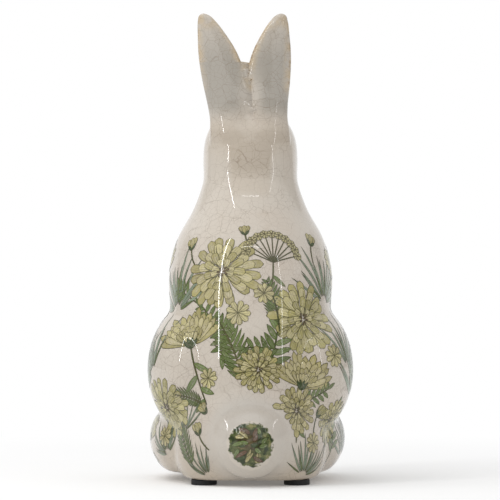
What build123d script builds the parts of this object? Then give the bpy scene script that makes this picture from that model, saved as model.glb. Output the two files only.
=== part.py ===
import os
from math import radians, sqrt, tan

from build123d import *

# Seated ceramic rabbit, in millimetres. It faces -Y and its pads stand on Z = 0.

# Stick-on pads
PAD_DIAMETER = 12.0
PAD_THICKNESS = 2.5
BACK_PAD_X = 21.5
BACK_PAD_Y = 30.0
FRONT_PAD_X = 20.0
FRONT_PAD_Y = -28.0

# Torso sections: height over the base, half width, half depth, centre in Y, corner fullness
TORSO = (
    (0.0, 31.5, 41.0, 1.0, 0.83),
    (8.0, 35.5, 46.0, 1.5, 0.80),
    (28.0, 37.0, 50.0, 2.5, 0.76),
    (53.0, 37.0, 50.5, 2.5, 0.73),
    (78.0, 37.8, 46.5, 1.0, 0.72),
    (97.0, 38.2, 42.0, -1.0, 0.71),
    (112.0, 34.3, 36.0, -3.0, 0.71),
    (126.0, 26.8, 27.2, -5.6, 0.71),
    (138.0, 22.4, 23.2, -8.0, 0.71),
    (150.0, 21.2, 23.2, -9.8, 0.71),
    (161.5, 17.0, 20.5, -11.0, 0.71),
)

# Casting
WALL = 4.5
FLOOR = 5.0
VENT_DIAMETER = 12.0

# Haunches
HAUNCH_X = 26.0
HAUNCH_Y = 10.0
HAUNCH_HEIGHT = 50.5
HAUNCH_HALF_WIDTH = 22.0
HAUNCH_HALF_LENGTH = 33.0
HAUNCH_HALF_HEIGHT = 31.0

# Head over the top of the neck, with the nose dipped
HEAD_DROP = 9.0
HEAD_AHEAD = 7.0
HEAD_HALF_WIDTH = 21.5
HEAD_HALF_LENGTH = 30.0
HEAD_HALF_HEIGHT = 22.5
HEAD_DIP = 14.0
MUZZLE_SINK = 4.0
MUZZLE_DROP = 6.5
MUZZLE_HALF_WIDTH = 13.2
MUZZLE_HALF_LENGTH = 12.0
MUZZLE_HALF_HEIGHT = 11.6
CHEEK_X = 9.5
CHEEK_SINK = 15.0
CHEEK_DROP = 7.5
CHEEK_RADIUS = 11.7
CHEEK_HALF_LENGTH = 14.0
THROAT_SINK = 22.0
THROAT_RISE = 5.5
THROAT_HALF_WIDTH = 19.0
THROAT_HALF_LENGTH = 15.5
THROAT_HALF_HEIGHT = 11.5
NOSE_SINK = 1.4
NOSE_RISE = 3.7
NOSE_HALF_WIDTH = 4.2
NOSE_HALF_LENGTH = 2.2
NOSE_HALF_HEIGHT = 2.6
EYE_BEHIND = 16.5
EYE_RISE = 5.0
EYE_SINK = 1.3
EYE_HALF_WIDTH = 3.4
EYE_HALF_LENGTH = 4.8
EYE_HALF_HEIGHT = 4.2

# Ear sections: share of the length, half width, half thickness
EAR_SECTIONS = (
    (-0.15, 5.0, 4.0),
    (0.0, 8.0, 5.4),
    (0.22, 9.7, 5.2),
    (0.46, 10.9, 4.6),
    (0.66, 9.8, 3.9),
    (0.82, 6.9, 3.2),
    (0.94, 3.7, 2.3),
)
LEFT_EAR_ROOT_X = 10.3
RIGHT_EAR_ROOT_X = 8.7
EAR_ROOT_BEHIND = 21.5
EAR_ROOT_RISE = 11.0
EAR_LENGTH = 54.0
EAR_CURL = 12.0
LEFT_EAR_LEAN = -0.3
RIGHT_EAR_LEAN = -6.9
EAR_BACK_LEAN = 5.0
EAR_CUP_HALF_LENGTH = 21.0
EAR_CUP_HALF_WIDTH = 6.0
EAR_CUP_DEPTH = 2.6
EAR_CUP_SHARE = 0.52
EAR_CUP_LEAN = 12.0

# Forelegs and paws
LEG_X = 12.5
LEG_TOP_Y = -34.5
LEG_TOP_HEIGHT = 77.5
LEG_FOOT_Y = -45.0
LEG_TOP_RADIUS = 11.5
LEG_FOOT_RADIUS = 8.0
PAW_Y = -48.0
PAW_HALF_LENGTH = 12.0
PAW_RADIUS = 8.5
PAW_FLAT = 1.5

# Hind feet
FOOT_X = 31.5
FOOT_Y = -16.0
FOOT_HALF_LENGTH = 41.0
FOOT_HALF_WIDTH = 14.8
FOOT_HALF_HEIGHT = 17.5
FOOT_FLAT = 0.5

# Tail, a ball on a low mound
TAIL_HEIGHT = 19.5
MOUND_SINK = 6.5
MOUND_HALF_WIDTH = 17.0
MOUND_HALF_LENGTH = 10.5
MOUND_HALF_HEIGHT = 18.0
BALL_STEP = 3.5
BALL_DROP = 2.0
BALL_RADIUS = 10.5

# Places that follow from the sizes
HEAD_CENTRE = (0, TORSO[-1][3] - HEAD_AHEAD, PAD_THICKNESS + TORSO[-1][0] - HEAD_DROP)
HEAD_FRONT = HEAD_CENTRE[1] - HEAD_HALF_LENGTH
RUMP_Y = TORSO[2][3] + TORSO[2][2]


def torso_section(height, half_width, half_depth, centre, fullness):
    """Four quarter curves that bulge through corners at a share of the half width and half depth."""
    pull = (8 * fullness - 4) / 3
    w, d = half_width, half_depth
    with BuildSketch(Plane((0, centre, PAD_THICKNESS + height))) as outline:
        with BuildLine():
            Bezier((0, -d), (pull * w, -d), (w, -pull * d), (w, 0))
            Bezier((w, 0), (w, pull * d), (pull * w, d), (0, d))
            Bezier((0, d), (-pull * w, d), (-w, pull * d), (-w, 0))
            Bezier((-w, 0), (-w, -pull * d), (-pull * w, -d), (0, -d))
        make_face()
    return outline.sketch


def egg(centre, half_width, half_length, half_height, tilt=(0, 0, 0)):
    """Ball drawn out along X, Y and Z, then tilted and set in its place."""
    with BuildPart() as drawn:
        Sphere(1)
        scale(by=(half_width, half_length, half_height))
    return drawn.part.moved(Location(centre, tilt))


def torso_and_head(inset, levels):
    """Torso, haunches and head, drawn in by an inset."""
    turned = {1: 180, -1: 0}
    haunches = [
        egg(
            (side * HAUNCH_X, HAUNCH_Y, PAD_THICKNESS + HAUNCH_HEIGHT),
            HAUNCH_HALF_WIDTH - inset,
            HAUNCH_HALF_LENGTH - inset,
            HAUNCH_HALF_HEIGHT - inset,
            (0, 0, turned[side]),
        )
        for side in (1, -1)
    ]
    head = egg(
        HEAD_CENTRE,
        HEAD_HALF_WIDTH - inset,
        HEAD_HALF_LENGTH - inset,
        HEAD_HALF_HEIGHT - inset,
        (HEAD_DIP, 0, 0),
    )
    with BuildPart() as form:
        loft([torso_section(h, w - inset, d - inset, y, f) for h, w, d, y, f in levels])
        add(haunches)
        add(head)
    return form.part


# The outside of the torso, haunches and head as one solid
muzzle_centre = Vector(0, HEAD_FRONT + MUZZLE_SINK, HEAD_CENTRE[2] - MUZZLE_DROP)
muzzle = egg(muzzle_centre, MUZZLE_HALF_WIDTH, MUZZLE_HALF_LENGTH, MUZZLE_HALF_HEIGHT)
throat = egg(
    (0, HEAD_FRONT + THROAT_SINK, HEAD_CENTRE[2] - HEAD_HALF_HEIGHT + THROAT_RISE),
    THROAT_HALF_WIDTH,
    THROAT_HALF_LENGTH,
    THROAT_HALF_HEIGHT,
)
nose = egg(
    muzzle_centre + Vector(0, NOSE_SINK - MUZZLE_HALF_LENGTH, NOSE_RISE),
    NOSE_HALF_WIDTH,
    NOSE_HALF_LENGTH,
    NOSE_HALF_HEIGHT,
)
eye_share = 1 - (1 - EYE_BEHIND / HEAD_HALF_LENGTH) ** 2 - (EYE_RISE / HEAD_HALF_HEIGHT) ** 2
eye_x = HEAD_HALF_WIDTH * sqrt(eye_share) - EYE_SINK
with BuildPart() as outside:
    add(torso_and_head(0, TORSO))
    add(throat)
    add(muzzle)
    add(nose)
    for side in (1, -1):
        add(
            egg(
                (side * CHEEK_X, HEAD_FRONT + CHEEK_SINK, HEAD_CENTRE[2] - CHEEK_DROP),
                CHEEK_RADIUS,
                CHEEK_HALF_LENGTH,
                CHEEK_RADIUS,
                (HEAD_DIP, 0, 0),
            )
        )
        add(
            egg(
                (side * eye_x, HEAD_FRONT + EYE_BEHIND, HEAD_CENTRE[2] + EYE_RISE),
                EYE_HALF_WIDTH,
                EYE_HALF_LENGTH,
                EYE_HALF_HEIGHT,
            )
        )

# The hollow that the slip leaves inside, and its vent
floor_section = (FLOOR,) + TORSO[0][1:]
crown_section = (TORSO[-1][0] - WALL,) + TORSO[-1][1:]
with BuildPart() as hollow:
    add(torso_and_head(WALL, (floor_section,) + TORSO[1:-1] + (crown_section,)))
    with BuildSketch(Plane.XY):
        Circle(VENT_DIAMETER / 2)
    extrude(amount=PAD_THICKNESS + FLOOR + WALL)

# Body shell: the outside less the hollow
with BuildPart() as body_shell:
    add(outside.part)
    add(hollow.part, mode=Mode.SUBTRACT)
body_shell.part.label = "body_shell"


def ear_centre(side, root, lean, share):
    """Point on the middle line of an ear at a share of its length."""
    rise = share * EAR_LENGTH
    out = root + rise * tan(radians(lean)) + EAR_CURL * share * share
    back = HEAD_CENTRE[1] + EAR_ROOT_BEHIND + rise * tan(radians(EAR_BACK_LEAN))
    return (side * out, back, HEAD_CENTRE[2] + EAR_ROOT_RISE + rise)


def ear_sections(side, root, lean):
    """Ellipses up the ear, ending in its tip."""
    faces = []
    for share, half_width, half_thickness in EAR_SECTIONS:
        with BuildSketch(Plane(ear_centre(side, root, lean, share))) as oval:
            Ellipse(half_width, half_thickness)
        faces.append(oval.sketch)
    return faces + [Vertex(*ear_centre(side, root, lean, 1.0))]


def ear_cup(side, root, lean):
    """Egg that scoops the hollow out of the front of an ear."""
    x, y, z = ear_centre(side, root, lean, EAR_CUP_SHARE)
    front = y - EAR_SECTIONS[3][2] - EAR_CUP_HALF_WIDTH + EAR_CUP_DEPTH
    tilt = (-EAR_BACK_LEAN, side * (lean + EAR_CUP_LEAN), 0)
    return egg((x, front, z), EAR_CUP_HALF_WIDTH, EAR_CUP_HALF_WIDTH, EAR_CUP_HALF_LENGTH, tilt)


# Ears, each bedded on the crown and against the other
with BuildPart() as ear_right:
    loft(ear_sections(-1, RIGHT_EAR_ROOT_X, RIGHT_EAR_LEAN))
    add(ear_cup(-1, RIGHT_EAR_ROOT_X, RIGHT_EAR_LEAN), mode=Mode.SUBTRACT)
    add(outside.part, mode=Mode.SUBTRACT)
ear_right.part.label = "ear_right"

with BuildPart() as ear_left:
    loft(ear_sections(1, LEFT_EAR_ROOT_X, LEFT_EAR_LEAN))
    add(ear_cup(1, LEFT_EAR_ROOT_X, LEFT_EAR_LEAN), mode=Mode.SUBTRACT)
    add(outside.part, mode=Mode.SUBTRACT)
    add(ear_right.part, mode=Mode.SUBTRACT)
ear_left.part.label = "ear_left"

# Tail: a ball on its mound, bedded on the rump
mound_centre = Vector(0, RUMP_Y - MOUND_SINK, PAD_THICKNESS + TAIL_HEIGHT)
with BuildPart() as tail:
    add(egg(mound_centre, MOUND_HALF_WIDTH, MOUND_HALF_LENGTH, MOUND_HALF_HEIGHT))
    add(egg(mound_centre + Vector(0, BALL_STEP, -BALL_DROP), BALL_RADIUS, BALL_RADIUS, BALL_RADIUS, (0, 0, -90)))
    add(outside.part, mode=Mode.SUBTRACT)
tail.part.label = "tail"

# Right foreleg: a tapered leg with its paw, flat underneath and bedded on the chest
paw_height = PAD_THICKNESS + PAW_RADIUS - PAW_FLAT
leg_top = Vector(-LEG_X, LEG_TOP_Y, PAD_THICKNESS + LEG_TOP_HEIGHT)
leg_foot = Vector(-LEG_X, LEG_FOOT_Y, paw_height)
with BuildPart() as foreleg_right:
    with BuildSketch(Plane(leg_foot, x_dir=(1, 0, 0), z_dir=leg_top - leg_foot)):
        Circle(LEG_FOOT_RADIUS)
    with BuildSketch(Plane(leg_top, x_dir=(1, 0, 0), z_dir=leg_top - leg_foot)):
        Circle(LEG_TOP_RADIUS)
    loft()
    add(egg(leg_top, LEG_TOP_RADIUS, LEG_TOP_RADIUS, LEG_TOP_RADIUS))
    add(egg((-LEG_X, PAW_Y, paw_height), PAW_RADIUS, PAW_HALF_LENGTH, PAW_RADIUS))
    add(outside.part, mode=Mode.SUBTRACT)
    split(bisect_by=Plane.XY.offset(PAD_THICKNESS), keep=Keep.TOP)
    split(bisect_by=Plane.YZ, keep=Keep.BOTTOM)
foreleg_right.part.label = "foreleg_right"

with BuildPart() as foreleg_left:
    mirror(foreleg_right.part, about=Plane.YZ)
foreleg_left.part.label = "foreleg_left"

# Right hind foot: long and rounded, flat underneath, bedded against the body and clear of the foreleg
foot_height = PAD_THICKNESS + FOOT_HALF_HEIGHT - FOOT_FLAT
with BuildPart() as hind_foot_right:
    add(egg((-FOOT_X, FOOT_Y, foot_height), FOOT_HALF_WIDTH, FOOT_HALF_LENGTH, FOOT_HALF_HEIGHT))
    add(outside.part, mode=Mode.SUBTRACT)
    add(foreleg_right.part, mode=Mode.SUBTRACT)
    split(bisect_by=Plane.XY.offset(PAD_THICKNESS), keep=Keep.TOP)
hind_foot_right.part.label = "hind_foot_right"

with BuildPart() as hind_foot_left:
    mirror(hind_foot_right.part, about=Plane.YZ)
hind_foot_left.part.label = "hind_foot_left"


def pad(x, y):
    """Round pad stuck flat to the base."""
    with BuildPart() as disc:
        with BuildSketch(Plane((x, y, 0))):
            Circle(PAD_DIAMETER / 2)
        extrude(amount=PAD_THICKNESS)
    return disc


# Pads
pad_back_left = pad(BACK_PAD_X, BACK_PAD_Y)
pad_back_left.part.label = "pad_back_left"
pad_back_right = pad(-BACK_PAD_X, BACK_PAD_Y)
pad_back_right.part.label = "pad_back_right"
pad_front_left = pad(FRONT_PAD_X, FRONT_PAD_Y)
pad_front_left.part.label = "pad_front_left"
pad_front_right = pad(-FRONT_PAD_X, FRONT_PAD_Y)
pad_front_right.part.label = "pad_front_right"

os.makedirs("parts", exist_ok=True)
export_step(body_shell.part, "parts/body_shell.step")
export_step(ear_left.part, "parts/ear_left.step")
export_step(ear_right.part, "parts/ear_right.step")
export_step(tail.part, "parts/tail.step")
export_step(foreleg_left.part, "parts/foreleg_left.step")
export_step(foreleg_right.part, "parts/foreleg_right.step")
export_step(hind_foot_left.part, "parts/hind_foot_left.step")
export_step(hind_foot_right.part, "parts/hind_foot_right.step")
export_step(pad_back_left.part, "parts/pad_back_left.step")
export_step(pad_back_right.part, "parts/pad_back_right.step")
export_step(pad_front_left.part, "parts/pad_front_left.step")
export_step(pad_front_right.part, "parts/pad_front_right.step")
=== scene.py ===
import bpy
import numpy as np
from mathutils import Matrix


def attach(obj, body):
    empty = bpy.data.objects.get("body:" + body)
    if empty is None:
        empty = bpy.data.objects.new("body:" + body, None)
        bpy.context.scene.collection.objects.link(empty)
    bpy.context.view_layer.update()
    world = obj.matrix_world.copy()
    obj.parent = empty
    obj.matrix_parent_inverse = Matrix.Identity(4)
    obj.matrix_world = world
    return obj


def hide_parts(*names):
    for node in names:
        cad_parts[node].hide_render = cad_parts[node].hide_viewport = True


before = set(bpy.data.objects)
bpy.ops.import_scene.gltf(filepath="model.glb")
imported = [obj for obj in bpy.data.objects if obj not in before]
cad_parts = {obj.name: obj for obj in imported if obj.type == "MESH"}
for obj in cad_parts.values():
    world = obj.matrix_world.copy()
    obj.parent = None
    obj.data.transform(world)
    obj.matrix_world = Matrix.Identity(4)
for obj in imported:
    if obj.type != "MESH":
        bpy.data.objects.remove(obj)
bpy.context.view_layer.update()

# Glazed skin: the slip-cast torso, haunches, head, forelegs and hind feet under one coat of cream
# glaze. The clay is joined with slip and smoothed, so every limb runs into the body in a soft crease.
MM = 0.001
BASE = 2.5
VENT_RADIUS = 6.0
VENT_LIP_RADIUS = 7.0
MOUND_MIDDLE_Z = 21.0
TORSO_Z = (2.5, 10.5, 30.5, 55.5, 80.5, 99.5, 114.5, 128.5, 140.5, 152.5, 164.0, 172.0)
TORSO_HALF_WIDTH = (31.5, 35.5, 37.0, 37.0, 37.8, 38.2, 34.3, 26.8, 22.6, 20.8, 18.4, 13.5)
TORSO_HALF_DEPTH = (41.0, 46.0, 50.0, 50.5, 46.5, 42.0, 36.0, 27.2, 23.2, 22.6, 19.6, 14.0)
TORSO_Y = (1.0, 1.5, 2.5, 2.5, 1.0, -1.0, -3.0, -5.6, -8.0, -9.8, -11.0, -13.0)
TORSO_POWER = (3.7, 3.1, 2.5, 2.2, 2.1, 2.0, 2.0, 2.0, 2.2, 2.5, 2.8, 2.8)
TURN_Y, TURN_Z = -40.0, 124.0


def through(knots, values, at):
    """Cubic through the knots: Hermite pieces whose slopes are the finite differences at the knots."""
    knots, values = np.asarray(knots, float), np.asarray(values, float)
    slope = np.gradient(values, knots)
    at = np.clip(at, knots[0], knots[-1])
    i = np.clip(np.searchsorted(knots, at, side="right") - 1, 0, len(knots) - 2)
    gap = knots[i + 1] - knots[i]
    t = (at - knots[i]) / gap
    near = values[i] * (1 + 2 * t) * (1 - t) ** 2 + values[i + 1] * t * t * (3 - 2 * t)
    return near + gap * (slope[i] * t * (1 - t) ** 2 - slope[i + 1] * t * t * (1 - t))


def merge(a, b, k):
    """The smaller of two distances, rounded over a width k where they are alike."""
    h = np.clip(0.5 + 0.5 * (b - a) / k, 0, 1)
    return b + (a - b) * h - k * h * (1 - h)


def step(low, high, at):
    """0 below low, 1 above high, and a smooth S between."""
    t = np.clip((at - low) / (high - low), 0, 1)
    return t * t * (3 - 2 * t)


def egg(x, y, z, centre, radii, dip=0.0):
    """Distance to a ball drawn out on three axes and dipped about X: k (k - 1) / |q / r r|, k = |q / r|."""
    c, s = np.cos(np.radians(dip)), np.sin(np.radians(dip))
    u, v, w = x - centre[0], y - centre[1], z - centre[2]
    v, w = c * v + s * w, c * w - s * v
    k = np.sqrt((u / radii[0]) ** 2 + (v / radii[1]) ** 2 + (w / radii[2]) ** 2) + 1e-9
    m = np.sqrt((u / radii[0] ** 2) ** 2 + (v / radii[1] ** 2) ** 2 + (w / radii[2] ** 2) ** 2) + 1e-9
    return k * (k - 1) / m


def limb(x, y, z, top, foot, top_radius, foot_radius):
    """Distance to a tapered limb: from the nearest point of its middle line, less the radius there."""
    run = np.subtract(foot, top)
    t = ((x - top[0]) * run[0] + (y - top[1]) * run[1] + (z - top[2]) * run[2]) / run.dot(run)
    t = np.clip(t, 0, 1)
    u, v, w = x - top[0] - t * run[0], y - top[1] - t * run[1], z - top[2] - t * run[2]
    gap = np.sqrt(u**2 + v**2 + w**2)
    return gap - (top_radius + t * (foot_radius - top_radius))


def rabbit(x, y, z):
    """Distance to the skin, and how much painted shade it gets there: in the smoothed creases, in the cut
    grooves and, as a painted dark reflection, down the back of the neck.

    The torso is rounded sections stacked up the height; haunches, head, muzzle and limbs are eggs and
    tapers merged into it; toes, mouth, nostrils and lids are grooves; the base is cut flat."""
    wide = np.maximum(through(TORSO_Z, TORSO_HALF_WIDTH, z), 0.5)
    deep = np.maximum(through(TORSO_Z, TORSO_HALF_DEPTH, z), 0.5)
    v = y - through(TORSO_Z, TORSO_Y, z)
    power = through(TORSO_Z, TORSO_POWER, z)
    share = ((np.abs(x) / wide) ** power + (np.abs(v) / deep) ** power) ** (1 / power) + 1e-6
    side = np.abs(x)
    soft = hard = np.maximum(np.hypot(x, v) * (1 - 1 / share), z - 168.0)
    for part, k in (
        (egg(side, y, z, (26.0, 10.0, 53.0), (22.2, 33.0, 31.0)), 3.2),
        (egg(x, y, z, (0.0, -18.0, 155.0), (20.6, 30.0, 22.5), 14.0), 8.0),
        (egg(side, y, z, (9.5, -33.0, 147.5), (11.0, 13.0, 11.0), 14.0), 6.0),
        (egg(x, y, z, (0.0, -44.0, 148.5), (12.8, 11.8, 11.3)), 6.0),
        (egg(x, y, z, (0.0, -26.0, 138.0), (17.0, 14.0, 10.0)), 6.0),
        (egg(x, y, z, (0.0, -54.6, 152.2), (4.2, 2.2, 2.6)), 1.2),
        (egg(side, y, z, (13.0, -29.0, 164.0), (6.0, 9.0, 3.6), 14.0), 4.0),
        (egg(side, y, z, (17.7, -31.5, 160.0), (3.4, 5.0, 4.2), 14.0), 0.8),
        (limb(side, y, z, (12.5, -34.5, 80.0), (12.5, -45.0, 9.5), 11.5, 8.0), 3.0),
        (egg(side, y, z, (12.5, -48.0, 9.5), (8.5, 12.0, 8.5)), 3.0),
        (egg(np.abs(x - 1.5), y, z, (31.5, -16.0, 19.5), (14.8, 41.0, 17.5)), 3.5),
        (egg(x, y, z, (0.0, 46.0, 22.0), (17.2, 10.4, 18.3)), 2.4),
    ):
        soft, hard = merge(soft, part, k), np.minimum(hard, part)
    toe = np.exp(-(((side - 28.5) / 0.9) ** 2)) + np.exp(-(((side - 35.5) / 0.9) ** 2))
    toe = toe * step(-44, -51, y) * step(24, 18, z)
    claw = np.exp(-(((side - 9.6) / 0.7) ** 2)) + np.exp(-(((side - 15.4) / 0.7) ** 2))
    claw = claw * step(-51, -56, y) * step(16, 12, z)
    lip = 143.5 + 0.045 * side**2
    smile = np.exp(-(((z - lip) / 0.6) ** 2)) * step(10, 7, side)
    cleft = np.exp(-((x / 0.6) ** 2)) * step(143, 144, z) * step(150, 149, z)
    smile = np.clip(smile + cleft, 0, 1) * step(-44, -48, y)
    nostril = np.hypot((side - 2.3) / 0.9, (z - 151.6 - 0.4 * (side - 2.3)) / 0.7)
    nostril = np.exp(-(nostril**2)) * step(-52, -54, y)
    lid = np.hypot((y + 31.5) / 6.2, (z - 160.0 - 0.15 * (y + 31.5)) / 5.4)
    lid = np.exp(-(((lid - 1) / 0.14) ** 2)) * step(12, 15, side)
    between = np.exp(-((x / 1.7) ** 2)) * step(90, 72, z) * step(-36, -41, y)
    soft = soft + 0.9 * toe + 0.7 * claw + 0.8 * smile + 0.8 * nostril + 0.9 * lid + 1.8 * between
    soft = -merge(-soft, z - BASE, 3.0)
    # Painted dark reflection: a band down the middle of the back of the neck, added to the painted crease
    # shade.
    painted_nape_reflection = step(11, 8, side) * step(130, 138, z) * step(2, 8, y)
    # Second value: painted shade, from the crease depth, the nape band and the cut grooves.
    return soft, np.clip(hard / 1.4 + 0.8 * painted_nape_reflection, 0, 1) + 0.5 * (toe + claw) + smile + nostril + lid


def skin(x, y, z):
    """Distance to the smoothed skin alone."""
    return rabbit(x, y, z)[0]


def walk_in(start, way, far, shape):
    """Distance along each ray to the shape: walks in from far by the distance, then closes by secants."""
    t = far.copy()
    for _ in range(60):
        d = shape(*(start + way * t))
        t = np.clip(t - 0.8 * d, 0.3, far)
    last_t, last_d = t + 0.05, shape(*(start + way * (t + 0.05)))
    for _ in range(8):
        d = shape(*(start + way * t))
        grade = (d - last_d) / np.where(np.abs(t - last_t) < 1e-6, 1e-6, t - last_t)
        grade = np.where(np.abs(grade) < 0.05, 0.05 * np.where(grade < 0, -1, 1), grade)
        last_t, last_d = t, d
        t = np.clip(t - np.clip(d / grade, -0.6, 0.6), 0.3, far)
    return t


def slope(form, x, y, z, reach):
    """Unit normal of a form: differences of its distance over a reach, made one long."""
    n = np.stack(
        [
            form(x + reach, y, z) - form(x - reach, y, z),
            form(x, y + reach, z) - form(x, y - reach, z),
            form(x, y, z + reach) - form(x, y, z - reach),
        ]
    )
    return n / (np.sqrt((n**2).sum(0)) + 1e-9)


def mesh_piece(name, points, faces, uv=None, form=None):
    """Mesh from points in millimetres and quads, smooth, with an optional UV pair for each corner.

    Where a form is given and agrees with the faces, its slope gives the normals, so highlights run clean."""
    mesh = bpy.data.meshes.new(name)
    mesh.from_pydata((points * MM).tolist(), [], faces.tolist())
    mesh.polygons.foreach_set("use_smooth", np.ones(len(mesh.polygons), bool))
    if uv is not None:
        mesh.uv_layers.new(name="OFBake").data.foreach_set("uv", uv.astype(np.float32).ravel())
    if form is not None:
        faced = np.empty(points.size, np.float32)
        mesh.vertex_normals.foreach_get("vector", faced)
        exact = slope(form, *points.T, 0.4).T
        agrees = (exact * faced.reshape(-1, 3)).sum(1, keepdims=True) > 0.95
        mesh.normals_split_custom_set_from_vertices(np.where(agrees, exact, 0).tolist())
    piece = bpy.data.objects.new(name, mesh)
    bpy.context.collection.objects.link(piece)
    return piece


def mark(piece, name, values):
    """Keeps one number for each point of a piece under a name, for its material to read."""
    kept = piece.data.attributes.new(name, "FLOAT", "POINT")
    kept.data.foreach_set("value", values.astype(np.float32).ravel())


def ring_faces(rows, around):
    """Quads of a grid that is closed around, with the UV pair of each corner."""
    i, j = np.meshgrid(np.arange(rows - 1), np.arange(around), indexing="ij")
    i, j = i.ravel(), j.ravel()
    right = (j + 1) % around
    quads = np.stack([i * around + j, i * around + right, (i + 1) * around + right, (i + 1) * around + j], 1)
    u = np.stack([j, j + 1, j + 1, j], 1) / around
    v = np.stack([i, i, i + 1, i + 1], 1) / (rows - 1)
    return quads, np.stack([u, v], 2) * 0.98 + 0.01


def skin_rows(around):
    """Rays for the skin, row by row: level planes up the torso, planes that turn about the throat up and
    over the head, and a fan from inside the muzzle out to the nose."""
    level = np.concatenate([BASE + 4 * np.linspace(0.002, 1, 12) ** 1.5, np.linspace(7.4, TURN_Z - 0.9, 132)])
    turn = np.radians(np.linspace(0, 90, 104))
    fan = np.radians(np.linspace(2.5, 90, 38))
    reach = through((0, 45, 90), (35.0, 39.0, 26.0), np.degrees(turn))
    axis_y = through((2.5, 30, 60, 100, TURN_Z), (-3.0, -3.0, 1.0, -1.0, TURN_Y + 35.0), level)
    y = np.concatenate([axis_y, TURN_Y + reach * np.cos(turn), np.full(fan.size, TURN_Y)])
    z = np.concatenate([level, TURN_Z + reach * np.sin(turn), np.full(fan.size, TURN_Z + 26.0)])
    out_y = np.concatenate([np.ones(level.size), np.cos(turn), np.zeros(fan.size)])
    out_z = np.concatenate([np.zeros(level.size), np.sin(turn), np.ones(fan.size)])
    ahead = np.concatenate([np.zeros(level.size + turn.size), fan])[:, None]
    angle = np.linspace(0, 2 * np.pi, around, endpoint=False)[None, :]
    across, along = np.cos(angle), np.sin(angle)
    way = np.stack(
        [
            np.cos(ahead) * across,
            np.cos(ahead) * along * out_y[:, None] - np.sin(ahead),
            np.cos(ahead) * along * out_z[:, None] + 0 * ahead,
        ]
    )
    start = np.stack([0 * y, y, z])[:, :, None] + 0 * way
    room = np.concatenate([np.full(level.size, 1e3), reach - 0.5, np.full(fan.size, 25.5)])[:, None]
    most = np.concatenate([np.full(level.size + turn.size, 82.0), np.full(fan.size, 34.0)])[:, None]
    far = np.minimum(most, room / np.maximum(-along, 1e-3))
    return start, way, far


around = 300
start, way, far = skin_rows(around)
found = (start + way * walk_in(start, way, far, skin)).transpose(1, 2, 0)
edge = found[0]
centre = np.array([0.0, 0.0, BASE])
hub = np.linspace(0, 2 * np.pi, around, endpoint=False)
rim = np.stack([np.cos(hub), np.sin(hub), 0 * hub], 1)
vent_steps = ((0.01, 13.0), (VENT_RADIUS, 13.0), (VENT_RADIUS, 3.4), (6.3, 2.7), (VENT_LIP_RADIUS, BASE))
vent = [rim * r + np.array([0, 0, z]) for r, z in vent_steps]
flat = [
    (1 - f) * (rim * VENT_LIP_RADIUS + centre) + f * edge * np.array([1, 1, 0]) + f * centre
    for f in (0.2, 0.45, 0.7, 0.9, 0.985)
]
rows = np.concatenate([np.stack(vent + flat), found])
quads, corner_uv = ring_faces(len(rows), around)
points = rows.reshape(-1, 3)
glazed_skin = mesh_piece("glazed_skin", points, quads, corner_uv, skin)
# Painted shade for the glaze material: crease depth, grooves and the nape band, kept on each point.
crease = rabbit(*points.T)[1]
mark(glazed_skin, "crease", crease)


class Tone:
    """A value in a material's node tree; arithmetic on it adds Math nodes, node() adds any other."""

    def __init__(self, tree, socket=None):
        self.tree = tree
        self.socket = socket

    def node(self, kind, settings=None, inputs=None, out=0):
        made = self.tree.nodes.new(kind)
        for name, value in (settings or {}).items():
            setattr(made, name, value)
        for name, value in (inputs or {}).items():
            if isinstance(value, Tone):
                self.tree.links.new(value.socket, made.inputs[name])
            else:
                made.inputs[name].default_value = value
        return Tone(self.tree, made.outputs[out])

    def sum(self, operation, first, second):
        return self.node("ShaderNodeMath", {"operation": operation}, {0: first, 1: second})

    def __add__(self, other):
        return self.sum("ADD", self, other)

    def __radd__(self, other):
        return self.sum("ADD", other, self)

    def __sub__(self, other):
        return self.sum("SUBTRACT", self, other)

    def __rsub__(self, other):
        return self.sum("SUBTRACT", other, self)

    def __mul__(self, other):
        return self.sum("MULTIPLY", self, other)

    def __rmul__(self, other):
        return self.sum("MULTIPLY", other, self)

    def ramp(self, low, high):
        """0 at low, 1 at high, smooth between."""
        return self.node(
            "ShaderNodeMapRange",
            {"interpolation_type": "SMOOTHSTEP"},
            {"Value": self, "From Min": low, "From Max": high, "To Min": 0.0, "To Max": 1.0},
        )

    def mix(self, under, over):
        """Colour under where this is 0, over where it is 1."""
        return self.node("ShaderNodeMix", {"data_type": "RGBA"}, {0: self, 6: under, 7: over}, 2)


def begin(name):
    """New material: its empty tree as a Tone, its shader and the place on the piece in millimetres."""
    material = bpy.data.materials.new(name)
    material.use_nodes = True
    tree = material.node_tree
    tree.nodes.clear()
    tone = Tone(tree)
    shader = tree.nodes.new("ShaderNodeBsdfPrincipled")
    output = tree.nodes.new("ShaderNodeOutputMaterial")
    tree.links.new(shader.outputs[0], output.inputs["Surface"])
    where = tone.node("ShaderNodeTexCoord", out=3)
    place = tone.node("ShaderNodeVectorMath", {"operation": "SCALE"}, {0: where, "Scale": 1000.0})
    return material, tone, shader, place


def cloud(tone, place, size, detail=3.0, rough=0.5):
    """Soft noise from 0 to 1 whose lumps are about size millimetres across."""
    return tone.node(
        "ShaderNodeTexNoise", {}, {"Vector": place, "Scale": 1.0 / size, "Detail": detail, "Roughness": rough}
    )


def crackle(tone, place, size, width):
    """1 on the fine cracks of the glaze: thin borders of wandering cells, broken where a cloud is low."""
    drift = tone.node("ShaderNodeTexNoise", {}, {"Vector": place, "Scale": 0.35, "Detail": 2.0}, 1)
    bent = tone.node(
        "ShaderNodeVectorMath", {"operation": "MULTIPLY_ADD"}, {0: drift, 1: (1.1, 1.1, 1.1), 2: place}
    )
    border = tone.node(
        "ShaderNodeTexVoronoi", {"feature": "DISTANCE_TO_EDGE"}, {"Vector": bent, "Scale": 1.0 / size}
    )
    return (1 - border.ramp(0.0, width / size)) * (0.35 + 0.65 * cloud(tone, place, 16.0).ramp(0.34, 0.56))


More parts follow.
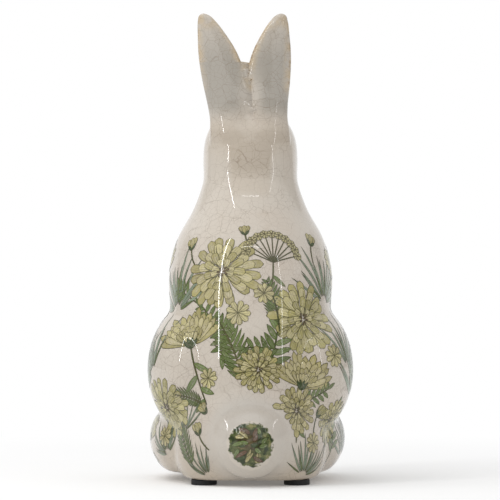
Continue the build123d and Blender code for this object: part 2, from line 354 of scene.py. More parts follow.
CREAM = (0.575, 0.52, 0.45, 1)
BLUSH = (0.53, 0.455, 0.38, 1)
TAN = (0.44, 0.355, 0.255, 1)
UMBER = (0.19, 0.125, 0.07, 1)
MILK = (0.535, 0.51, 0.47, 1)
CRACK = (0.21, 0.16, 0.115, 1)


def round_tail(tone, place):
    """1 on the smooth mound round the tail, fading out with the distance from the tail's middle line."""
    level = tone.node("ShaderNodeVectorMath", {"operation": "MULTIPLY"}, {0: place, 1: (1, 0, 1)})
    middle = (0, 0, MOUND_MIDDLE_Z)
    away = tone.node("ShaderNodeVectorMath", {"operation": "DISTANCE"}, {0: level, 1: middle}, 1)
    rump = tone.node("ShaderNodeSeparateXYZ", {}, {0: place}, 1).ramp(28.0, 40.0)
    return (1 - away.ramp(17.0, 25.0)) * rump


def glaze_coat(tone, shader, place, colour):
    """Puts crackle over a colour and finishes it as a thick clear glaze with a faint ripple."""
    lines = crackle(tone, place, 2.8, 0.1) * 0.4 + crackle(tone, place, 6.8, 0.16) * 0.42
    lines = lines * (0.9 - 0.7 * round_tail(tone, place))
    tone.tree.links.new(lines.mix(colour, CRACK).socket, shader.inputs["Base Color"])
    tone.tree.links.new((0.16 + 0.1 * cloud(tone, place, 9.0)).socket, shader.inputs["Roughness"])
    swell = cloud(tone, place, 16.0, 1.0) + cloud(tone, place, 5.0, 0.0) * 0.05
    bump = tone.node("ShaderNodeBump", {}, {"Height": swell, "Strength": 0.055, "Distance": 0.0016})
    tone.tree.links.new(bump.socket, shader.inputs["Normal"])
    shader.inputs["Specular IOR Level"].default_value = 0.0
    shader.inputs["Coat Weight"].default_value = 1.0
    shader.inputs["Coat Roughness"].default_value = 0.025
    shader.inputs["Coat IOR"].default_value = 1.5


def glaze_colour(tone, place):
    """Cream glaze with blushes and tan stains in soft patches, painted shade in tan toward the bottom, and
    painted shade in the creases: tan, and umber in the cut grooves.
    """
    base = (cloud(tone, place, 30.0, 4.0).ramp(0.42, 0.72) * 0.55).mix(CREAM, BLUSH)
    stain = cloud(tone, place, 11.0, 5.0, 0.62).ramp(0.58, 0.8) * 0.35
    base = stain.mix(base, TAN)
    # Painted shade: tan darkening toward the bottom of the body.
    low = 1 - tone.node("ShaderNodeSeparateXYZ", {}, {0: place}, 2).ramp(2.0, 30.0)
    base = (low * 0.5).mix(base, TAN)
    base = (round_tail(tone, place) * 0.5).mix(base, MILK)
    # Painted shade: tan in the creases and on the nape, umber in the cut grooves.
    painted_crease_shade = tone.node("ShaderNodeAttribute", {"attribute_name": "crease"}, out=2)
    base = (painted_crease_shade.ramp(0.0, 1.0) * 0.28).mix(base, TAN)
    return (painted_crease_shade.ramp(0.75, 1.7) * 0.8).mix(base, UMBER)


skin_material, tone, shader, place = begin("cream_crackle_glaze")
glaze_coat(tone, shader, place, glaze_colour(tone, place))
glazed_skin.data.materials.append(skin_material)
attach(glazed_skin, "root")
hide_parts("body_shell", "foreleg_left", "foreleg_right", "hind_foot_left", "hind_foot_right")

# Ears: two upright leaves of clay, cupped in front, pressed on to the crown and smoothed in with slip.
# The glaze runs thin on their rims and shows ochre clay there, with small brown chips.
# Their backs carry painted grey shade, lighter at the rims, toward the tips and in the web between the ears.
EAR_SHARE = (-0.3, -0.2, -0.08, 0.06, 0.22, 0.46, 0.66, 0.82, 0.94, 0.975, 0.99, 1.0)
EAR_HALF_WIDTH = (0.6, 2.2, 5.8, 8.3, 9.7, 10.6, 9.4, 6.8, 4.1, 2.9, 1.9, 0.5)
EAR_HALF_THICK = (0.6, 1.9, 4.4, 5.4, 5.2, 4.6, 3.9, 3.3, 2.6, 2.0, 1.4, 0.5)
EAR_ROOT_Y, EAR_ROOT_Z = 3.5, 166.0
EAR_STANCE = {1: (10.4, -0.3), -1: (9.1, -6.9)}
EAR_LENGTH = 54.0
EAR_CURL = 12.0
EAR_BACK_LEAN = 5.0
EAR_TURN = 14.0


def ear_line(share, root, lean):
    """Middle line of an ear: straight lean plus an outward curl that grows with the square of the height.

    Below the root it dives forward into the head."""
    rise = share * EAR_LENGTH
    sunk = np.maximum(-share, 0)
    x = root + rise * np.tan(np.radians(lean)) + EAR_CURL * np.maximum(share, 0) ** 2 - 10 * sunk
    return x, EAR_ROOT_Y + rise * np.tan(np.radians(EAR_BACK_LEAN)) - 40 * sunk**1.5, EAR_ROOT_Z + rise


def ear_leaf(x, y, z, side, root, lean):
    """Distance to one ear alone: oval sections up its middle line, less an oval cup in front."""
    share = np.clip((z - EAR_ROOT_Z) / EAR_LENGTH, -0.3, 1)
    mid_x, mid_y, _ = ear_line(share, root, lean)
    c, s = np.cos(np.radians(EAR_TURN)), np.sin(np.radians(EAR_TURN))
    u, v = side * x - mid_x, y - mid_y
    u, v = c * u - s * v, s * u + c * v
    wide, thick = through(EAR_SHARE, EAR_HALF_WIDTH, share), through(EAR_SHARE, EAR_HALF_THICK, share)
    oval = np.sqrt((u / wide) ** 2 + (v / thick) ** 2) + 1e-6
    leaf = np.hypot(u, v) * (1 - 1 / oval)
    leaf = np.maximum(leaf, z - (EAR_ROOT_Z + EAR_LENGTH))
    cup_v = v + thick * (2.2 - 1.0 * step(0.1, 0.35, share) * step(0.98, 0.75, share))
    hollow = np.sqrt((u / (0.74 * wide)) ** 2 + (cup_v / (0.98 * thick)) ** 2) + 1e-6
    return -merge(-leaf, np.hypot(u, cup_v) * (1 - 1 / hollow), 1.6)


def ear_form(x, y, z, side):
    """Distance to one side of the pair of ears, which run together low down and into the head."""
    pair = merge(ear_leaf(x, y, z, 1, *EAR_STANCE[1]), ear_leaf(x, y, z, -1, *EAR_STANCE[-1]), 2.6)
    parting = 1.9 - 4.2 * step(200, 172, z)
    joined = merge(pair, skin(x, y, z), 2.0 + 7.5 * step(-5, 5, y)) + 0.05 + 0.35 * step(156, 151, z)
    return np.maximum(joined, side * (parting - x) - 1.2) + 0.02 * (side < 0)


def ear_piece(name, side):
    """Ear surface: level rays out from a line just behind the middle of the leaf, closed at the tip."""
    tip_share = 0.8 + 0.198 * np.sin(np.linspace(0.05, np.pi / 2, 26))
    share = np.concatenate([np.linspace(-0.29, 0.8, 106), tip_share])
    angle = np.linspace(0, 2 * np.pi, 112, endpoint=False)[None, :]
    x, y, z = ear_line(share, *EAR_STANCE[side])
    thick = through(EAR_SHARE, EAR_HALF_THICK, share)
    start = np.stack([side * x, y + 0.35 * thick, z])[:, :, None] + 0 * angle[None]
    level = 0 * share[:, None]
    way = np.stack([np.cos(angle) + level, np.sin(angle) + level, level * angle])
    far = np.minimum(17.0, (1.35 * thick[:, None] + 2.0) / np.maximum(-way[1], 1e-3))

    def form(a, b, c):
        """Distance to the ear on this side."""
        return ear_form(a, b, c, side)

    found = start + way * walk_in(start, way, far, form)
    tip = np.stack(ear_line(np.array([1.0]), *EAR_STANCE[side])) * np.array([[side], [1], [1]])
    rows = np.concatenate([found, tip[:, :, None] + 0 * found[:, :1]], 1).transpose(1, 2, 0)
    quads, corner_uv = ring_faces(len(rows), 112)
    piece = mesh_piece(name, rows.reshape(-1, 3), quads, corner_uv, form)
    out = np.abs((rows - rows.mean(1, keepdims=True))[:, :, 0])
    rim_share = out / (out.max(1, keepdims=True) + 0.3) * step(0.12, 0.4, np.append(share, 1.0))[:, None]
    rim_share = np.maximum(rim_share, 0.82 * step(0.66, 0.95, np.append(share, 1.0))[:, None])
    mark(piece, "rim", rim_share)
    # Painted crease shade from the skin, carried up to the ear roots and faded out above them.
    crease = rabbit(*rows.reshape(-1, 3).T)[1] * step(176, 162, rows[:, :, 2].ravel())
    mark(piece, "crease", crease)
    return piece


OCHRE = (0.53, 0.40, 0.23, 1)
CHIP = (0.20, 0.12, 0.06, 1)
# Grey of the painted shade on the ear backs.
EAR_SHADE_GREY = (0.375, 0.345, 0.30, 1)
ear_material, tone, shader, place = begin("thin_ear_glaze")
rim_place = tone.node("ShaderNodeAttribute", {"attribute_name": "rim"}, out=2)
worn = rim_place.ramp(0.5, 0.98) * cloud(tone, place, 4.0, 4.0).ramp(0.3, 0.6)
chipped = rim_place.ramp(0.84, 0.96) * cloud(tone, place, 1.5, 2.0).ramp(0.52, 0.58)
height = tone.node("ShaderNodeSeparateXYZ", {}, {0: place}, 2)
sideways = tone.node("ShaderNodeSeparateXYZ", {}, {0: place})
aside = tone.node("ShaderNodeMath", {"operation": "ABSOLUTE"}, {0: sideways})
# Painted light: the web between the ears, low down, is left lighter.
middle = (1 - aside.ramp(2.0, 8.0)) * (1 - height.ramp(180.0, 200.0))
# Painted shade: grey over the ear backs, less at the rims and toward the tips.
painted_ear_shade = (0.95 - 0.6 * rim_place.ramp(0.5, 1.0)) * height.ramp(168.0, 178.0)
painted_ear_shade = painted_ear_shade * (1 - 0.55 * height.ramp(196.0, 214.0))
painted_ear_shade = painted_ear_shade * (1 - 0.75 * middle)
colour = painted_ear_shade.mix(glaze_colour(tone, place), EAR_SHADE_GREY)
colour = (worn * 0.7).mix(colour, OCHRE)
colour = (chipped * 0.75).mix(colour, CHIP)
glaze_coat(tone, shader, place, colour)
for name, side in (("ear_left_leaf", 1), ("ear_right_leaf", -1)):
    ear = ear_piece(name, side)
    ear.data.materials.append(ear_material)
    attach(ear, "root")
    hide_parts(name[:-5])

# Tail: a round ball of clay on the rump, lumpy from the modelling tool, smoothed in with slip at its foot
# and covered by the print like the haunches.
TAIL_CENTRE = (0.0, 49.5, 20.0)
TAIL_RADII = (10.2, 10.4, 10.6)
TAIL_SHADE = (0.022, 0.036, 0.009, 1)
TAIL_GREEN = (0.095, 0.115, 0.034, 1)
TAIL_STRAW = (0.30, 0.26, 0.11, 1)
TAIL_RUST = (0.10, 0.055, 0.035, 1)


def tail_form(x, y, z):
    """Distance to the tail: a lumpy ball merged with the rump."""
    lumps = 0.22 * np.sin(1.1 * x + 0.6 * z) * np.sin(0.9 * z - 0.5 * x)
    return merge(egg(x, y, z, TAIL_CENTRE, TAIL_RADII) + lumps, skin(x, y, z), 2.2) + 0.05


tilt = np.radians(np.linspace(-18, 90, 60))[:, None]
angle = np.linspace(0, 2 * np.pi, 128, endpoint=False)[None, :]
way = np.stack([np.cos(tilt) * np.cos(angle), np.sin(tilt) + 0 * angle, -np.cos(tilt) * np.sin(angle)])
start = np.array(TAIL_CENTRE)[:, None, None] + 0 * way
ball = start + way * walk_in(start, way, np.full(way.shape[1:], 19.0), tail_form)
rows = ball.transpose(1, 2, 0)
quads, corner_uv = ring_faces(len(rows), 128)
tail_ball = mesh_piece("tail_ball", rows.reshape(-1, 3), quads, corner_uv, tail_form)
tail_material, tone, shader, place = begin("printed_tail_glaze")
lumps = cloud(tone, place, 3.4, 4.0, 0.6)
colour = lumps.ramp(0.42, 0.56).mix(TAIL_SHADE, TAIL_GREEN)
colour = (lumps.ramp(0.57, 0.66) * 0.7).mix(colour, TAIL_STRAW)
heart = tone.node("ShaderNodeVectorMath", {"operation": "DISTANCE"}, {0: place, 1: (1.0, 60.0, 21.5)}, 1)
colour = ((1 - heart.ramp(1.5, 8.5)) * 0.62).mix(colour, TAIL_RUST)
foot = tone.node("ShaderNodeVectorMath", {"operation": "DISTANCE"}, {0: place, 1: (0.0, 60.0, 20.0)}, 1)
colour = (foot + 6.0 * cloud(tone, place, 2.4, 2.0)).ramp(13.8, 15.0).mix(colour, CREAM)
glaze_coat(tone, shader, place, colour)
tail_ball.data.materials.append(tail_material)
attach(tail_ball, "root")
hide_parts("tail")

# Print: a flower transfer laid on the biscuit before glazing, in olive, leaf green and grey-green inks
# with fine dark outlines. Loose blossoms, fronds and grass tufts cover the body, feet and tail; the neck,
# head and ears stay bare.
OLIVE = (0.38, 0.345, 0.135)
STRAW = (0.53, 0.48, 0.245)
LEAF = (0.135, 0.185, 0.06)
MOSS = (0.04, 0.07, 0.02)
REED = (0.25, 0.31, 0.22)
RUST = (0.12, 0.062, 0.033)
KHAKI = (0.37, 0.30, 0.165)
INK = (0.036, 0.036, 0.010, 1)
GOLDEN_TURN = 137.5
BARE_RADIUS = 18.5
BARE_FROM_Y = 38
dice = np.random.default_rng(11)


def strokes(x, y, heading, length, width, bend=0.0, rise=0.6, fall=0.8, layer=0.0, wash=LEAF):
    """Rows of strokes that share a look: root, heading in degrees, length, half width, bend of the tip,
    the two powers of the outline v^rise (1 - v)^fall, layer and ink."""
    cells = [x, y, heading, length, width, bend, rise, fall, layer, *wash]
    count = max(np.size(c) for c in cells)
    rows = np.stack([np.broadcast_to(np.asarray(c, float), count) for c in cells], 1)
    rows[:, 9:12] *= dice.uniform(0.82, 1.18, (count, 1))
    return rows


def rosette(size):
    """Open blossom: four rings of blunt petals round a dotted eye, each shorter and turned half a petal."""
    rings = []
    for ring, (count, root, length, width) in enumerate(
        ((17, 0.20, 0.30, 0.062), (14, 0.13, 0.27, 0.062), (11, 0.07, 0.22, 0.056), (8, 0.03, 0.14, 0.045))
    ):
        turn = 360 * (np.arange(count) + 0.5 * ring + dice.uniform(-0.16, 0.16, count)) / count
        c, s = np.cos(np.radians(turn)), np.sin(np.radians(turn))
        reach = length * size * dice.uniform(0.86, 1.1, count)
        bend = size * dice.uniform(-0.05, 0.05, count)
        wash = (OLIVE, STRAW, OLIVE, STRAW)[ring]
        x, y = root * size * c, root * size * s
        rings.append(strokes(x, y, turn, reach, width * size, bend, 0.8, 0.3, 2 + ring, wash))
    turn = np.arange(9) * GOLDEN_TURN
    spread = 0.05 * size * np.sqrt(np.arange(9) / 9)
    x, y = spread * np.cos(np.radians(turn)), spread * np.sin(np.radians(turn))
    rings.append(strokes(x, y, turn, 0.05 * size, 0.016 * size, 0, 0.5, 0.5, 7, RUST))
    return np.concatenate(rings)


def stem(x, y, heading, length, bend, leaves=0, wash=MOSS):
    """Thin stalk with leaves that stand off it left and right in turn."""
    rows = [strokes(x, y, heading, length, 0.42, bend, 0.06, 0.1, 0, wash)]
    if leaves:
        v = np.linspace(0.3, 0.9, leaves)
        c, s = np.cos(np.radians(heading)), np.sin(np.radians(heading))
        root_x = x + length * v * c - bend * v * v * s
        root_y = y + length * v * s + bend * v * v * c
        side = np.where(np.arange(leaves) % 2 == 0, 1, -1)
        off = heading + 180 - side * 135
        reach = 0.36 * length * (1.15 - 0.5 * v)
        rows.append(strokes(root_x, root_y, off, reach, 0.05 * length, side, 0.6, 0.8, 1, LEAF))
    return np.concatenate(rows)


def fan(size):
    """Blossom from the side: rows of petals opening upward out of a green cup on a leafy stalk."""
    rows = [stem(0, 0, -90, 0.95 * size, 0.12 * size, 4)]
    for row, (count, spread, length, width) in enumerate(
        ((13, 84, 0.56, 0.058), (10, 72, 0.45, 0.056), (8, 60, 0.33, 0.05), (5, 44, 0.22, 0.042))
    ):
        turn = 90 + np.linspace(-spread, spread, count) + dice.uniform(-3, 3, count)
        reach = length * size * dice.uniform(0.9, 1.1, count)
        bend = -0.0014 * size * (turn - 90)
        wash = (OLIVE, STRAW, OLIVE, STRAW)[row]
        rows.append(strokes(0, 0, turn, reach, width * size, bend, 0.9, 0.3, 2 + row, wash))
    cup = np.array([52, 76, 104, 128])
    rows.append(strokes(0, -0.06 * size, cup, 0.19 * size, 0.034 * size, 0, 0.6, 0.8, 7, MOSS))
    return np.concatenate(rows)


def umbel(size):
    """Parasol of small florets: rays from one point, each with a tuft of round petals at its end."""
    turn = 90 + np.linspace(-66, 66, 11)
    reach = size * (0.46 + 0.1 * np.cos(np.radians(turn - 90)))
    c, s = np.cos(np.radians(turn)), np.sin(np.radians(turn))
    x, y = reach * c, reach * s
    rows = [stem(0, 0, -90, 0.8 * size, -0.1 * size, 3)]
    rows.append(strokes(0, 0, turn, reach, 0.3, 0, 0.06, 0.1, 1, MOSS))
    for part in np.arange(7) * 51.4:
        rows.append(strokes(x, y, turn + part, 0.085 * size, 0.03 * size, 0, 0.7, 0.35, 3, STRAW))
    rows.append(strokes(x * 0.98, y * 0.98, turn, 0.04 * size, 0.016 * size, 0, 0.5, 0.5, 5, RUST))
    return np.concatenate(rows)


def frond(size):
    """Fern: a bent rib with slim leaflets in pairs, longest in its lower third."""
    bend = 0.2 * size
    v = np.repeat(np.linspace(0.08, 0.95, 13), 2)
    side = np.tile([1, -1], 13)
    length = size * (0.05 + 0.26 * np.sin(np.pi * (0.22 + 0.74 * v)))
    tilt = 90 + np.degrees(np.arctan(2 * bend * v / size))
    way, bow = tilt - side * 52, side * 0.03 * size
    leaflets = strokes(-bend * v * v, size * v, way, length, 0.026 * size, bow, 0.5, 0.8, 1, LEAF)
    return np.concatenate([strokes(0, 0, 90, size, 0.4, bend, 0.06, 0.2, 2, MOSS), leaflets])


def spray(size):
    """Leafy twig: broad pointed leaves in turn up a thin stalk, with one at its tip."""
    tip = strokes(-0.12 * size, size * 0.97, 104, 0.3 * size, 0.055 * size, 0, 0.6, 0.8, 1, LEAF)
    return np.concatenate([stem(0, 0, 90, size, 0.12 * size, 9), tip])


def tuft(size):
    """Grass: slim blades that fan out from one root and droop outward."""
    turn = 90 + 78 * np.linspace(-1, 1, 15) + dice.uniform(-5, 5, 15)
    length = size * dice.uniform(0.5, 0.9, 15)
    root_x = 0.11 * size * np.cos(np.radians(turn))
    root_y = 0.11 * size * np.sin(np.radians(turn))
    droop = -0.0022 * size * (turn - 90)
    long = strokes(root_x, root_y, turn, length, 0.026 * size, droop, 0.45, 0.8, 1, REED)
    x, y, way = root_x[::3], root_y[::3], turn[::3] + 5
    short = strokes(x, y, way, 0.6 * length[::3], 0.022 * size, 0, 0.45, 0.8, 2, LEAF)
    return np.concatenate([long, short])


def bud(size):
    """Half-open bud: three petals in two sepals on a short bent stalk."""
    petals = strokes(0, 0, np.array([68, 112, 90]), 0.5 * size, 0.12 * size, 0, 0.7, 0.4, 3, OLIVE)
    sepals = strokes(0, -0.04 * size, np.array([52, 128]), 0.32 * size, 0.06 * size, 0, 0.6, 0.8, 4, MOSS)
    return np.concatenate([petals, sepals, stem(0, 0, -90, 0.7 * size, 0.2 * size)])


def floret(size):
    """Small loose flower: one ring of blunt petals round a dark dot."""
    turn = np.arange(9) * 40.0 + dice.uniform(-5, 5, 9)
    dot = strokes(-0.06 * size, 0, 0, 0.12 * size, 0.06 * size, 0, 0.5, 0.5, 4, RUST)
    return np.concatenate([strokes(0, 0, turn, 0.5 * size, 0.12 * size, 0, 0.9, 0.35, 3, STRAW), dot])


def bouquet(size):
    """Close posy: short leaves and petals laid in all directions over a disc, thickest in its middle."""
    count = 74
    spread = 0.5 * size * np.sqrt(np.arange(count) / count)
    turn = np.arange(count) * GOLDEN_TURN
    x, y = spread * np.cos(np.radians(turn)), spread * np.sin(np.radians(turn))
    way = turn + dice.uniform(-70, 70, count)
    parts = []
    for i, (fall, wash) in enumerate(((0.8, MOSS), (0.8, LEAF), (0.4, OLIVE), (0.8, RUST))):
        reach = size * dice.uniform(0.2, 0.34, len(x[i::4]))
        parts.append(strokes(x[i::4], y[i::4], way[i::4], reach, 0.055 * size, 0.6, 0.6, fall, 1 + i, wash))
    return np.concatenate(parts)


def shell(x, y, z):
    """Distance to the skin with its tail."""
    return tail_form(x, y, z) - 0.05


def print_places(azimuth, height):
    """Places on the skin at an azimuth from behind and a height, with the right, up and outward ways."""
    a = np.radians(azimuth)
    way = np.stack([-np.sin(a), np.cos(a), 0 * a])
    start = np.stack([0 * a, through((2.5, 30, 60, 100, 124), (-3, -3, 1, -1, -5), height), height])
    found = start + way * walk_in(start, way, np.full(a.shape, 82.0), shell)
    out = slope(shell, *found, 3.0)
    right = np.stack([-out[1], out[0], 0 * a])
    right = right / np.sqrt((right**2).sum(0))
    up = np.cross(out, right, axis=0)
    return found, right, up, out


PRINTS = (
    (rosette, -18, 99, 36, 0),
    (rosette, 33, 77, 35, 20),
    (umbel, 15, 103, 27, -6),
    (fan, -35, 65, 30, 12),
    (rosette, -50, 36, 29, 8),
    (fan, 27, 46, 27, -14),
    (frond, -3, 47, 34, 12),
    (spray, 6, 46, 30, -22),
    (spray, -14, 66, 22, 30),
    (frond, 16, 70, 26, -4),
    (tuft, -57, 80, 33, 10),
    (tuft, 58, 84, 31, -8),
    (tuft, -76, 48, 30, 6),
    (tuft, 72, 40, 32, -6),
    (spray, 45, 12, 24, -18),
    (frond, -31, 9, 26, 22),
    (tuft, -58, 14, 20, 30),
    (spray, 57, 8, 24, -8),
    (frond, -24, 38, 19, 66),
    (tuft, -37, 25, 20, 24),
    (spray, 25, 37, 17, -70),
    (rosette, 52, 30, 22, 0),
    (rosette, 23, 35, 24, 15),
    (tuft, 29, 5, 21, -6),
    (tuft, -23, 5, 17, 6),
    (bud, -26, 24, 12, 20),
    (rosette, 4, 54, 22, 10),
    (spray, -12, 84, 24, 168),
    (spray, -34, 84, 22, 62),
    (spray, 21, 62, 20, 74),
    (tuft, -60, 52, 27, 50),
    (tuft, 60, 54, 27, -40),
    (fan, 112, 62, 30, 0),
    (rosette, -112, 60, 34, 0),
    (rosette, 98, 96, 32, 0),
    (fan, -98, 98, 30, 12),
    (rosette, 160, 92, 30, 0),
    (umbel, -158, 96, 28, 0),
    (umbel, 138, 66, 28, 10),
    (fan, -140, 66, 26, -14),
    (frond, 136, 88, 30, 20),
    (spray, -130, 90, 28, -18),
    (tuft, 88, 12, 26, 0),
    (fan, -90, 20, 22, 0),
    (rosette, 110, 22, 24, 0),
    (frond, -112, 10, 26, -40),
    (tuft, 128, 12, 22, 30),
    (tuft, -128, 12, 22, -30),
    (tuft, 100, 62, 26, 20),
    (spray, -84, 62, 26, 10),
    (frond, 84, 64, 26, -12),
    (floret, -7, 80, 12, 0),
    (floret, 8, 89, 10, 0),
    (bud, 50, 111, 13, -30),
    (bud, -47, 109, 13, 20),
    (bud, -4, 116, 11, 8),
    (floret, 48, 60, 11, 0),
    (floret, -22, 50, 10, 0),
    (bud, 38, 32, 12, -40),
    (bud, -22, 34, 11, 40),
    (floret, 34, 20, 10, 0),
    (bud, 120, 100, 12, 10),
    (bud, -120, 108, 12, -10),
    (floret, 76, 104, 11, 0),
    (floret, -80, 78, 11, 0),
    (floret, 150, 112, 10, 0),
    (bud, -148, 78, 11, 0),
    (floret, -60, 22, 10, 0),
    (bouquet, 0, 20, 19, 0),
)
sheets = []
for motif, azimuth, height, size, turn in PRINTS:
    rows = motif(size)
    c, s = np.cos(np.radians(turn)), np.sin(np.radians(turn))
    rows[:, 0], rows[:, 1] = c * rows[:, 0] - s * rows[:, 1], s * rows[:, 0] + c * rows[:, 1]
    rows[:, 2] += turn
    petals = rows[:, 7] < 0.6
    rows[petals, 9:12] += dice.uniform(0, 0.4) * (np.array(KHAKI) - rows[petals, 9:12])
    sheets.append(np.concatenate([rows, np.tile([azimuth, height], (len(rows), 1))], 1))
inked = np.concatenate(sheets)


def lay_strokes(rows, along, across_shares):
    """Points and normals of each stroke on the skin: its outline is drawn flat at its motif's place and
    pressed on along the way outward there.

    Strokes that miss, stretch over a crease or lie on the bare tail mound are left out."""
    found, right, up, out = (w[:, :, None, None] for w in print_places(rows[:, 12], rows[:, 13]))
    v = (np.linspace(0, 1, along) ** 0.9)[None, :, None]
    x, y, heading, length, half, bend, rise, fall, layer = (rows[:, i, None, None] for i in range(9))
    heading = np.radians(heading)
    peak = (rise / (rise + fall)) ** rise * (fall / (rise + fall)) ** fall
    wide = np.maximum(half * np.maximum(v, 1e-4) ** rise * np.maximum(1 - v, 1e-4) ** fall / peak, 0.03)
    across = wide * np.asarray(across_shares)[None, None, :]
    tilt = heading + np.arctan2(2 * bend * v, length)
    flat_x = x + length * v * np.cos(heading) - bend * v * v * np.sin(heading) - across * np.sin(tilt)
    flat_y = y + length * v * np.sin(heading) + bend * v * v * np.cos(heading) + across * np.cos(tilt)
    start = found + flat_x * right + flat_y * up + 26.0 * out
    depth = np.zeros(flat_x.shape)
    for _ in range(46):
        depth = np.minimum(depth + 0.8 * shell(*(start - depth * out)), 60.0)
    landed = start - depth * out
    normal = slope(shell, *landed, 0.4)
    missed = np.abs(shell(*landed)) > 0.15
    steep = (normal * out).sum(0) < 0.42
    low_edge = landed[2] < 4.0
    ball = egg(*landed, TAIL_CENTRE, TAIL_RADII)
    mound = np.hypot(landed[0], landed[2] - MOUND_MIDDLE_Z) < BARE_RADIUS
    mound = mound & (landed[1] > BARE_FROM_Y) & (ball > 0.8)
    laid_length = np.sqrt((np.diff(landed, axis=2) ** 2).sum(0)).sum(1).max(1)
    stretched = laid_length > 1.5 * (rows[:, 3] + np.abs(rows[:, 5]))
    good = ~(missed | steep | low_edge | mound).any((1, 2)) & ~stretched
    lift = 0.07 + 0.016 * layer + 0.002 * (np.arange(len(rows)) % 7)[:, None, None]
    edge = np.minimum(wide - np.abs(across), (1 - v) * length)
    drawn = np.stack([across, v * length + 0 * across, edge], 3)
    points, normal = ((landed + lift * normal)[:, good], normal[:, good])
    return points.transpose(1, 2, 3, 0), normal.transpose(1, 2, 3, 0), drawn[good], rows[good, 9:12]


def printed_piece(name, rows, along, across_shares, material):
    """One mesh of all the strokes: a small grid of faces for each, and a cell of the map for each."""
    points, normal, drawn, inks = lay_strokes(rows, along, across_shares)
    count, wide = len(points), len(across_shares)
    i, j = np.meshgrid(np.arange(along - 1), np.arange(wide - 1), indexing="ij")
    first = (i * wide + j).ravel()
    quads = np.stack([first, first + wide, first + wide + 1, first + 1], 1)
    quads = (np.arange(count)[:, None, None] * along * wide + quads[None]).reshape(-1, 4)
    cells = int(np.ceil(np.sqrt(count)))
    column, row = np.arange(count) % cells, np.arange(count) // cells
    share_u = 0.84 * np.linspace(0, 1, wide)[None, None, :]
    share_v = 0.84 * np.linspace(0, 1, along)[None, :, None]
    spot_u = column[:, None, None] + 0.08 + share_u + np.zeros((1, along, 1))
    spot_v = row[:, None, None] + 0.08 + share_v + np.zeros((1, 1, wide))
    spots = np.stack([spot_u, spot_v], 3).reshape(-1, 2) / cells
    piece = mesh_piece(name, points.reshape(-1, 3), quads, spots[quads])
    piece.data.normals_split_custom_set_from_vertices(normal.reshape(-1, 3).tolist())
    outline = piece.data.attributes.new("drawn", "FLOAT_VECTOR", "POINT")
    outline.data.foreach_set("vector", drawn.astype(np.float32).ravel())
    wash = np.repeat(np.concatenate([inks, np.ones((count, 1))], 1), along * wide, 0).astype(np.float32)
    piece.data.attributes.new("wash", "FLOAT_COLOR", "POINT").data.foreach_set("color", wash.ravel())
    piece.data.materials.append(material)
    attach(piece, "root")
    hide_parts("body_shell")


def printed_ink(name, veins, reach, line):
    """Ink under glaze: the stroke's wash, paler in its middle, worn in patches, with veins and a dark
    outline that wanders inward by up to a reach, line millimetres wide."""
    material, tone, shader, place = begin(name)
    drawn = tone.node("ShaderNodeAttribute", {"attribute_name": "drawn"}, out=1)
    parts = [tone.node("ShaderNodeSeparateXYZ", {}, {0: drawn}, i) for i in range(3)]
    wash = tone.node("ShaderNodeAttribute", {"attribute_name": "wash"}, out=0)
    grain = cloud(tone, place, 1.1, 3.0)
    pale = parts[2].ramp(0.1, 1.6) * 0.28 * cloud(tone, place, 3.5, 3.0).ramp(0.35, 0.65)
    colour = pale.mix(wash, CREAM)
    colour = (grain.ramp(0.56, 0.72) * 0.3).mix(colour, CREAM)
    inside = parts[2] + reach * (cloud(tone, place, 1.6, 2.0) - 0.62)
    colour = ((1 - inside.ramp(0.3 * line, line)) * 0.84).mix(colour, INK)
    colour = (veins(tone, parts, grain) * 0.55).mix(colour, INK)
    glaze_coat(tone, shader, place, colour)
    return material


def petal_veins(tone, parts, grain):
    """Streaks along a petal from its root, fading before its tip, over a shaded root."""
    ripple = tone.node("ShaderNodeMath", {"operation": "SINE"}, {0: parts[0] * 5.6 + grain * 7.0})
    streaks = ripple.ramp(0.35, 0.9) * (1 - parts[1].ramp(3.0, 11.0))
    return streaks * 0.9 + (1 - parts[1].ramp(0.3, 4.0)) * 0.4


def leaf_veins(tone, parts, grain):
    """A midrib, and faint ribs that slant off it toward the tip."""
    off = tone.node("ShaderNodeMath", {"operation": "ABSOLUTE"}, {0: parts[0]})
    ripple = tone.node("ShaderNodeMath", {"operation": "SINE"}, {0: (parts[1] - off * 1.1) * 4.6 + grain})
    ribs = ripple.ramp(0.8, 1.0) * 0.5
    return tone.node("ShaderNodeMath", {"operation": "MAXIMUM"}, {0: 1 - off.ramp(0.05, 0.2), 1: ribs})


blunt = (inked[:, 7] < 0.6) & (inked[:, 6] > 0.1)
petal_ink = printed_ink("olive_petal_ink", petal_veins, 0.5, 0.34)
printed_piece("printed_blossoms", inked[blunt], 9, (-1, -0.72, 0, 0.72, 1), petal_ink)
leaf_ink = printed_ink("green_leaf_ink", leaf_veins, 0.1, 0.28)
printed_piece("printed_leaves", inked[~blunt], 17, (-1, 0, 1), leaf_ink)

# Pads: black foam discs with an adhesive back, pressed on to the flat of the base so that the glaze
# doesn't scratch a table. Their edges are softly rounded from the punch.
PAD_RADIUS = 6.0
PAD_THICK = 2.5
PAD_FOOT_ROUND = 0.5
PAD_TOP_ROUND = 0.3
FOAM_DARK = (0.006, 0.006, 0.007, 1)
FOAM_PALE = (0.022, 0.022, 0.024, 1)


